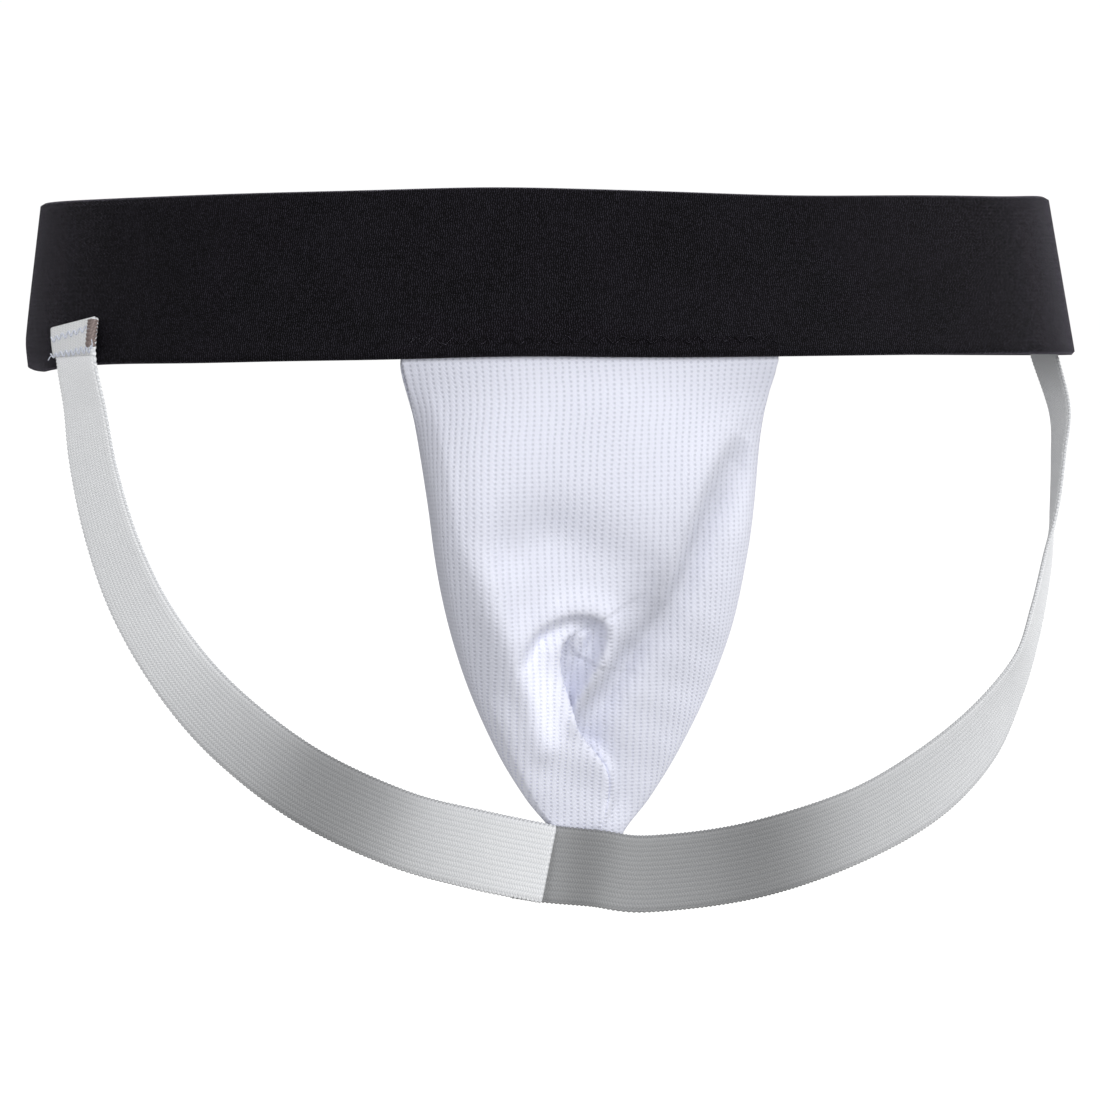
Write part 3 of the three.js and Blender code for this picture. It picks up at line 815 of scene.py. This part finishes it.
# ---- pouch
class Fold:
    """A line across the pouch's face, from (x, z) points, seen from every vertex of a grid."""

    def __init__(self, x, z, points):
        dense = smooth_curve(points, np.linspace(0, 1, 200))
        tangent = unit(np.gradient(dense, axis=0))
        flat = np.stack([x.ravel(), z.ravel()], -1)
        away = ((flat[:, None, :] - dense[None, :, :]) ** 2).sum(-1)
        nearest = away.argmin(1)
        off = flat - dense[nearest]
        turn = tangent[nearest]
        side = turn[:, 0] * off[:, 1] - turn[:, 1] * off[:, 0]
        far = np.sqrt(away[np.arange(len(nearest)), nearest])
        self.distance = far.reshape(x.shape)
        # positive to the left of the line's direction, and smooth round its ends
        self.signed = side.reshape(x.shape)
        self.share = 0.5 + 0.5 * np.clip(side / np.maximum(far, 0.05), -1, 1).reshape(x.shape)
        self.along = (nearest / 199).reshape(x.shape)

    def height(self, heights):
        return np.interp(self.along, np.linspace(0, 1, len(heights)), heights)

    def ridge(self, left, right, heights):
        """A smooth hump on the line, reaching `left` and `right` millimetres to its sides."""
        reach = right + (left - right) * self.share
        return np.exp(-((self.distance / reach) ** 2) * 1.6) * self.height(heights)


# each fold's line on the pouch's face, in (x, z)
FOLDS = {
    "left_ridge": [(-51, -28), (-46, -50), (-41.5, -77), (-35, -98), (-29, -123), (-24, -142), (-16, -163)],
    "inner_ridge": [(-35, -62), (-34, -80), (-31.5, -94), (-26, -113), (-20, -128), (-13, -146)],
    "hollow": [(-24, -83), (-12, -80), (2, -85)],
    "arch": [
        (-25, -123), (-21, -113), (-14.5, -105.8), (-5, -102.8), (3.2, -104.6), (6.2, -110.5),
        (4.2, -118), (0, -127), (-4, -136),
    ],
    "crescent": [(-20, -119), (-15, -111.5), (-9.5, -108)],
    "under_arch": [(-4.5, -107.8), (-0.5, -108.4), (1.2, -111), (-1.6, -117), (-5, -124), (-5.5, -131)],
    "crease": [
        (-4.2, -109.5), (-8, -111.8), (-10, -116), (-9.4, -123), (-6.4, -132.4), (-3.4, -141),
        (2.0, -148), (6.9, -155), (8.2, -163), (6.2, -176),
    ],
    "lip": [(-1, -144), (4, -148.6), (8.6, -155), (9.8, -163), (6.5, -174)],
    "valley": [(48, -50), (44, -57), (38, -68), (31, -83), (25.5, -97), (20, -109), (13, -120)],
    "shoulder": [(34, -58), (30.5, -74), (26.5, -88), (22.5, -99), (15.5, -110)],
    "limb": [(5.6, -108), (5.2, -117), (1.8, -125), (-2.4, -133), (-4.6, -140)],
    "gully": [(17, -90), (17.5, -99), (15.5, -109), (10, -122), (4, -134), (2, -142)],
}
CREASE_DEPTH = 6.6


def sculpt(p):
    """The slack cloth's folds: how far each point moves to the front and to the right, and the light and
    shade painted on it there."""
    x, z = p[..., 0], p[..., 2]
    fold = {name: Fold(x, z, points) for name, points in FOLDS.items()}
    h = 0.9 * fold["left_ridge"].ridge(4, 5, [0.3, 0.8, 1, 1.3, 1.6, 1.5, 0.6])
    h += fold["inner_ridge"].ridge(7, 7, [0.3, 2.4, 4.8, 5.6, 5.0, 3.4])
    h -= fold["hollow"].ridge(13, 13, [4.0, 5.4, 3.6])
    h += fold["arch"].ridge(7.0, 2.4, [0.3, 1.8, 3.0, 3.8, 4.2, 4.6, 4.8, 3.8, 1.4])
    h -= fold["crescent"].ridge(2.6, 3.0, [0.6, 2.6, 1.0])
    h -= fold["under_arch"].ridge(3.4, 3.0, [0.8, 2.4, 3.2, 3.2, 2.4, 0.6])
    h -= fold["valley"].ridge(9.5, 4.6, [1.5, 6.4, 8.6, 8.2, 6.8, 4.4, 1.4])
    h += fold["shoulder"].ridge(4.5, 7, [0.3, 1.6, 3.0, 3.0, 1.2])
    h += fold["limb"].ridge(3.8, 3.4, [1.0, 3.0, 3.6, 3.0, 0.8])
    h -= fold["gully"].ridge(6.5, 8.5, [0.8, 4.4, 6.0, 5.4, 3.0])
    # the flap on the left of the crease lies over the cloth on its right, which rises slowly away from it
    crease = fold["crease"]
    live = crease.height([0.1, 0.7, 1.0, 1.0, 1.0, 1.0, 0.9, 0.7, 0.5, 0.1])
    left, right = np.maximum(-crease.signed, 0), np.maximum(crease.signed, 0)
    on_flap = smoothstep(-crease.signed, -0.25, 0.25)
    away = np.abs(crease.signed)
    flap = 0.46 * (1 - 0.6 * np.exp(-away / 0.8)) * np.exp(-away / 11)
    drop = -0.78 * np.exp(-right / 10)
    near = hump(crease.distance, 0, 11 + 10 * (1 - smoothstep(-z, 125, 155)))
    h += CREASE_DEPTH * live * (flap * on_flap + drop * (1 - on_flap)) * near
    h += fold["lip"].ridge(2.1, 1.5, [0.2, 1.4, 2.8, 2.6, 1.0])
    shift = 1.3 * np.exp(-left / 2.2) * on_flap * live
    # the smallest ripples of the slack cloth, then its swell below the cup
    h += smoothstep(-z, 60, 120) * 0.3 * np.sin(x * 0.31 + z * 0.17) * np.sin(z * 0.23 - x * 0.11 + 1.0)
    h += 0.25 * np.sin(x * 0.09 + 1.3) * np.sin(z * 0.14)
    h += 6.5 * hump(x, -17, 13) * hump(z, -146, 24)
    h -= 1.2 * hump(x, 4, 22) * hump(z, -120, 30)
    # painted light and shade: paler on the flap left of the crease and over the lower pouch, darker in the
    # valley, the gully and right of the crease
    painted_shading = 0.26 * hump(x, -13, 8.5) * hump(z, -132, 26) * smoothstep(-crease.signed, -1.0, 1.5)
    painted_shading += 0.12 * smoothstep(-z, 100, 145)
    in_valley = hump(fold["valley"].distance, 0, 7.0)
    painted_shading -= 0.16 * in_valley * fold["valley"].height([0.2, 1, 1.3, 1.1, 1, 0.8, 0.4])
    painted_shading -= 0.07 * hump(fold["gully"].distance, 0, 9.0)
    painted_shading -= 0.13 * hump(right, 0, 9.0) * (1 - on_flap) * live * hump(crease.distance, 0, 12)
    keep = smoothstep(-z, 27, 42) * (1 - smoothstep(-z, 172, 184))
    return h * keep, shift * keep, painted_shading * keep


TUCKED_ROWS = 6


def front_points():
    """The front panel's grid, the same without its folds, and the light and shade painted on each point."""
    rows, cols = 306, 240
    v = np.concatenate([[0] * TUCKED_ROWS, np.linspace(0, 1, rows - TUCKED_ROWS)])
    stations = smooth_curve(POUCH, v)
    stations[:TUCKED_ROWS, 0] += np.linspace(2.1, 0.3, TUCKED_ROWS)
    z, middle, half, front, side = (stations[:, i] for i in range(5))
    boxy = smoothstep(v, 0.02, 0.3)
    turn = -np.cos(np.linspace(0, np.pi, 2400))
    slack = np.zeros((rows, cols, 3))
    s = np.zeros((rows, cols))
    for i in range(rows):
        # a boxier section than an ellipse on the left: the face turns back sharply there
        power = 2 + boxy[i] * np.where(turn < 0, 4.0, 0.6)
        bulge = np.clip(1 - np.abs(turn) ** power, 0, 1) ** (1 / (1 + (power - 1) * boxy[i]))
        x = middle[i] + turn * half[i]
        y = side[i] + (front[i] - side[i]) * bulge
        length = np.concatenate([[0], np.cumsum(np.hypot(np.diff(x), np.diff(y)))])
        even = np.linspace(0, length[-1], cols)
        slack[i] = np.stack([np.interp(even, length, x), np.interp(even, length, y), np.full(cols, z[i])], -1)
        s[i] = np.interp(even, length, turn)
    rise, shift, painted_shading = sculpt(slack)
    inner = 1 - smoothstep(np.abs(s), 0.86, 1.0)
    p = slack.copy()
    p[..., 1] += 0.5 - rise * np.clip(inner + 0.15, 0, 1) * (1 - smoothstep(np.abs(s), 0.97, 1.0))
    p[..., 0] += shift * inner
    return p, slack, painted_shading


def cloth_of(p, centre_column):
    """Where each point of a grid lies on its flat cloth, measured from one column."""
    u = arc_lengths(p, 1)
    u = u - u[:, centre_column][:, None]
    v = arc_lengths(p, 0)[:, centre_column][:, None] + 0 * u
    return np.stack([u, v], -1)


front_grid, slack_grid, front_painted_shading = front_points()
front_cloth = cloth_of(slack_grid, 120)
front = thick_sheet("front_mesh", front_grid, FABRIC_THICKNESS, front_cloth, FABRIC, tint=front_painted_shading)
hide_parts("pouch_front_panel")
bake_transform(front)


def back_surface(t, v):
    """The back panel's middle: t from -1 to 1 across it, v from 0 to 1 down it."""
    st = smooth_curve(WHOLE_BACK, v)
    z, middle, half, _, side, back = (st[..., i] for i in range(6))
    edge = side + BACK_SEAM_ROOM
    bulge = 1 - np.abs(t) ** BACK_POWER
    return stacked(middle + t * half, edge + (back - edge) * bulge, z)


back_grid = back_surface(np.linspace(-1, 1, 96)[None, :], np.linspace(0, 1, 120)[:, None]) + (0, 0.6, 0)
back_panel = thick_sheet("back_mesh", back_grid, FABRIC_THICKNESS, cloth_of(back_grid, 48), FABRIC)
finished(back_panel, "pouch", "mesh_fabric", "pouch_back_panel")

# ---- pouch hem behind the band
HEM_DEPTH_BEHIND = 3.35


def make_pouch_hem():
    x = np.linspace(-57, 57, 120)[None, :]
    z = np.linspace(-11.5, -23.4, 16)[:, None]
    share = x / (band_width_at(z) - 3.2)
    y = -(band_depth_at(z) - HEM_DEPTH_BEHIND) * np.sqrt(1 - share**2)
    grid = stacked(x, y, z)
    hem = thick_sheet("hem_mesh", grid, 1.0, cloth_of(grid, 60), FABRIC)
    return finished(hem, "waistband", "mesh_fabric", "pouch_hem")


make_pouch_hem()


# ---- pouch's trims
def make_binding():
    """The tape sewn over the pocket's mouth, on the back panel's inner face."""
    t = np.linspace(-0.9, 0.9, 180)[None, :]
    v = np.linspace(0.012, 0.072, 14)[:, None]
    grid = back_surface(t, v)
    turned = grid_normals(grid, False)
    grid = grid + turned * np.where(turned[..., 1:2] > 0, 1, -1) * 2.4
    cloth = cloth_of(grid, 90)[..., ::-1]
    ob = thick_sheet("mouth_binding", grid, 0.8, cloth, STRAP, tint=0.95)
    return finished(ob, "pouch", "strap_elastic", "pocket_mouth_binding")


make_binding()


def make_side_seam(name, sign, node):
    """An overlock's thread, coiled along one side of the pouch."""
    v = np.linspace(0.03, 0.97, 420)
    z, middle, half, _, side = smooth_curve(POUCH, v)[:, :5].T
    turn = 2 * np.pi * arc_lengths(np.stack([middle, side, z], -1), 0) / 2.2
    x = middle + sign * (half - 1.7) + 0.16 * np.cos(turn)
    path = np.stack([x, side + 2 + 0.16 * np.sin(turn), z], -1)
    return finished(tube(name, path, 0.3, WHITE_THREAD), "pouch", "white_thread", node)


make_side_seam("left_overlock", -1, "left_side_seam")
make_side_seam("right_overlock", 1, "right_side_seam")


def on_right_strap_rear(s, offset, lift):
    p, _, width, _ = RIGHT.frame(np.array([0.93 + s * 0.0055]))
    return (p + width * (-7.5 + offset))[0] + (0, 1.25 + 0.1 * lift, 0)


tip_path = zigzag_path(12, 2.5, 1.0, on_right_strap_rear, 0.15)
finished(tube("tip_zigzag", tip_path, 0.3, WHITE_THREAD), "pouch", "white_thread", "tip_stitch")


# ---- cup
CUP_HALF_WIDTH = 38
CUP_HALF_HEIGHT = 53
CUP_DEPTH = 25.5
CUP_WALL = 2.2
CUP_CENTRE_Z = -67
CUP_RIM_Y = -84.5
CUP_STEPS_ROUND = 168
# each vent's middle and height, in x and z, and how wide the slots are
VENTS = [(-20, -52, 20), (-10, -60, 28), (0, -64, 34), (10, -60, 28), (20, -52, 20)]
VENT_RADIUS = 1.5
VENT_FRONT_Y, VENT_REAR_Y = -140, -88.3
# the flange round the cup's edge: how far out, and y
FLANGE = [
    (0.35, -86.35), (0.9, -86.3), (1.3, -86.0), (1.5, -85.5),
    (1.5, -85.0), (1.3, -84.62), (0.9, -84.5), (-1.6, -84.5),
]
RIM_Y, RIM_HALF_WIDTH, RIM_HALF_DEPTH, RIM_SQUARENESS = -82.55, 2.35, 1.6, 0.45


def cup_taper(h):
    """How wide the cup is at height h, from -1 at its foot to 1 at its top."""
    return 0.98 + 0.3 * h - 0.08 * h * h


def cup_dome(a, phi, inset):
    """The dome at angle a round its axis and phi from its front, inset from the outer face."""
    x, y, h = np.cos(a) * np.sin(phi), -np.cos(phi) + 0 * a, np.sin(a) * np.sin(phi)
    return np.stack(
        [
            x * (CUP_HALF_WIDTH - inset) * cup_taper(h),
            CUP_RIM_Y + y * (CUP_DEPTH - inset) * (1 + 0.22 * np.minimum(h, 0)),
            CUP_CENTRE_Z + h * (CUP_HALF_HEIGHT - inset),
        ],
        -1,
    )


def cup_outline(a, out, y):
    """The cup's edge, enlarged all round by out."""
    h = np.sin(a)
    x = (CUP_HALF_WIDTH + out) * cup_taper(h) * np.cos(a)
    return np.stack([x, 0 * a + y, CUP_CENTRE_Z + (CUP_HALF_HEIGHT + out) * h], -1)


def closed_rings(name, rings, material, capped):
    """Faces round a stack of closed rings: capped at both ends, or with the last joined to the first."""
    m = len(rings[0])
    verts = np.concatenate(rings)
    k = np.arange(m)
    k2 = (k + 1) % m
    faces = []
    pairs = [(i, i + 1) for i in range(len(rings) - 1)]
    if not capped:
        pairs.append((len(rings) - 1, 0))
    for i, j in pairs:
        faces += np.stack([i * m + k, i * m + k2, j * m + k2, j * m + k], -1).tolist()
    if capped:
        faces += [list(range(m)), list(range((len(rings) - 1) * m, len(rings) * m))]
    ob = new_object(name, verts, faces, None, None, material)
    fix_normals(ob)
    return ob


def make_vent_cutter():
    """The slots' solids, which reach through the dome from its front."""
    corner = np.linspace(0, np.pi, 13)
    verts, faces = [], []
    for x, z, height in VENTS:
        straight = height / 2 - VENT_RADIUS
        ring = [(x + VENT_RADIUS * math.cos(c), z + straight + VENT_RADIUS * math.sin(c)) for c in corner]
        ring += [(x - VENT_RADIUS * math.cos(c), z - straight - VENT_RADIUS * math.sin(c)) for c in corner]
        start, m = len(verts), len(ring)
        verts += [(px, y, pz) for y in (VENT_FRONT_Y, VENT_REAR_Y) for px, pz in ring]
        faces += [[start + i for i in range(m)][::-1], [start + m + i for i in range(m)]]
        faces += [[start + i, start + (i + 1) % m, start + m + (i + 1) % m, start + m + i] for i in range(m)]
    cutter = new_object("vent_cutter", verts, faces)
    fix_normals(cutter)
    return cutter


def make_cup():
    a = angles_round(CUP_STEPS_ROUND)
    rings = [cup_dome(a, phi, 0) for phi in np.linspace(0.02, 1.49, 34)]
    rings += [cup_outline(a, out, y) for out, y in FLANGE]
    rings += [cup_dome(a, phi, CUP_WALL) for phi in np.linspace(1.56, 0.02, 30)]
    shell = closed_rings("cup_moulding", rings, PLASTIC, True)
    cutter = make_vent_cutter()
    cut = shell.modifiers.new("vents", "BOOLEAN")
    cut.operation = "DIFFERENCE"
    cut.solver = "EXACT"
    cut.object = cutter
    bpy.context.view_layer.update()
    solid = bpy.data.meshes.new_from_object(shell.evaluated_get(bpy.context.evaluated_depsgraph_get()))
    shell.modifiers.clear()
    shell.data = solid
    solid.shade_smooth()
    mark_sharp(solid, math.radians(38))
    bpy.data.objects.remove(cutter)
    finished(shell, "cup", "cup_plastic", "cup_shell")


def make_cup_rim():
    """The soft rim: a rounded square section swept round the cup's edge."""

    def squared(v):
        return math.copysign(abs(v) ** RIM_SQUARENESS, v)

    a = angles_round(CUP_STEPS_ROUND)
    section = []
    for c in angles_round(20):
        out = -0.15 + RIM_HALF_WIDTH * squared(math.cos(c))
        section.append(cup_outline(a, out, RIM_Y + RIM_HALF_DEPTH * squared(math.sin(c))))
    finished(closed_rings("cup_edge", section, RUBBER, False), "cup", "cup_rim_rubber", "cup_rim")


def mark_sharp(mesh, limit):
    bm = bmesh.new()
    bm.from_mesh(mesh)
    values = [len(e.link_faces) == 2 and e.calc_face_angle(0) > limit for e in bm.edges]
    bm.free()
    layer = mesh.attributes.new("sharp_edge", "BOOLEAN", "EDGE")
    layer.data.foreach_set("value", values)


make_cup()
make_cup_rim()

# ---- camera, light, floor
CAMERA_TURN = math.radians(6)
CAMERA_TILT = math.radians(3)
CAMERA_ROLL = math.radians(0.35)
CAMERA_OFFSET = (1.3, 1277.0, 89.5)
FOCAL_LENGTH_IN_WIDTHS = 3839 / 1100
SENSOR_WIDTH = 36


def make_camera():
    """A camera turned, tilted and rolled, and placed back from the row's origin."""
    right = np.array([math.cos(CAMERA_TURN), -math.sin(CAMERA_TURN), 0.0])
    level = math.cos(CAMERA_TILT)
    ahead = [math.sin(CAMERA_TURN) * level, math.cos(CAMERA_TURN) * level, -math.sin(CAMERA_TILT)]
    up = np.cross(right, ahead)
    across, back, above = CAMERA_OFFSET
    place = -(across * right + back * np.array(ahead) + above * up) * MM
    axis_x = right * math.cos(CAMERA_ROLL) - up * math.sin(CAMERA_ROLL)
    axis_y = right * math.sin(CAMERA_ROLL) + up * math.cos(CAMERA_ROLL)
    matrix = Matrix.Identity(4)
    for i in range(3):
        matrix[i][0], matrix[i][1], matrix[i][2], matrix[i][3] = axis_x[i], axis_y[i], -ahead[i], place[i]
    data = bpy.data.cameras.new("camera")
    data.sensor_width = SENSOR_WIDTH
    data.lens = FOCAL_LENGTH_IN_WIDTHS * SENSOR_WIDTH
    data.clip_start = 0.05
    data.clip_end = 50
    camera = bpy.data.objects.new("camera", data)
    camera.matrix_world = matrix
    bpy.context.scene.collection.objects.link(camera)
    bpy.context.scene.camera = camera


make_camera()


OBJECT_MIDDLE = Vector((0, 0, -0.08))


def area_light(name, where, size, power):
    """A soft box at a place in metres, turned to the object's middle."""
    data = bpy.data.lights.new(name, "AREA")
    data.shape = "RECTANGLE"
    data.size, data.size_y = size
    data.energy = power
    ob = bpy.data.objects.new(name, data)
    ob.location = where
    ob.rotation_mode = "QUATERNION"
    ob.rotation_quaternion = (OBJECT_MIDDLE - Vector(where)).to_track_quat("-Z", "Y")
    bpy.context.scene.collection.objects.link(ob)


area_light("key", (0.2, -2.1, 0.1), (0.9, 0.9), 12)
area_light("right", (1.15, -1.8, 0.55), (0.8, 0.8), 13)
area_light("left", (-1.15, -1.8, 0.35), (0.8, 0.8), 6)
area_light("top", (0.1, -0.6, 1.9), (1.2, 0.9), 4)
area_light("rim_left", (-1.7, 0.5, 0.5), (0.8, 1.4), 4)
area_light("rim_right", (1.7, 0.2, 0.4), (0.8, 1.4), 12)


def seen_white(tree, shader, strength):
    """White to the camera, and as strong as `strength` to everything else."""
    path = tree.nodes.new("ShaderNodeLightPath")
    level = tree.nodes.new("ShaderNodeMapRange")
    level.inputs["To Min"].default_value = strength
    level.inputs["To Max"].default_value = 1.02
    tree.links.new(path.outputs["Is Camera Ray"], level.inputs["Value"])
    tree.links.new(level.outputs[0], shader)


def make_world():
    world = bpy.data.worlds.new("studio")
    world.use_nodes = True
    sky = world.node_tree.nodes["Background"]
    sky.inputs["Color"].default_value = (1, 1, 1, 1)
    seen_white(world.node_tree, sky.inputs["Strength"], 0.42)
    bpy.context.scene.world = world
    bpy.context.scene.view_settings.view_transform = "Standard"


def make_floor():
    """A plain pale floor, far below: the object hangs in the air."""
    radius, height = 30, -0.5
    mesh = bpy.data.meshes.new("floor")
    around = angles_round(64)
    corners = [(radius * math.cos(a), radius * math.sin(a), height) for a in around]
    mesh.from_pydata(corners, [], [list(range(len(corners)))])
    floor = bpy.data.objects.new("floor", mesh)
    bpy.context.scene.collection.objects.link(floor)
    paper = bpy.data.materials.new("paper")
    paper.use_nodes = True
    shader = paper.node_tree.nodes["Principled BSDF"]
    shader.inputs["Base Color"].default_value = (0.2, 0.2, 0.2, 1)
    shader.inputs["Roughness"].default_value = 0.9
    shader.inputs["Emission Color"].default_value = (1, 1, 1, 1)
    seen_white(paper.node_tree, shader.inputs["Emission Strength"], 0.1)
    mesh.materials.append(paper)
    return floor


make_world()
make_floor()
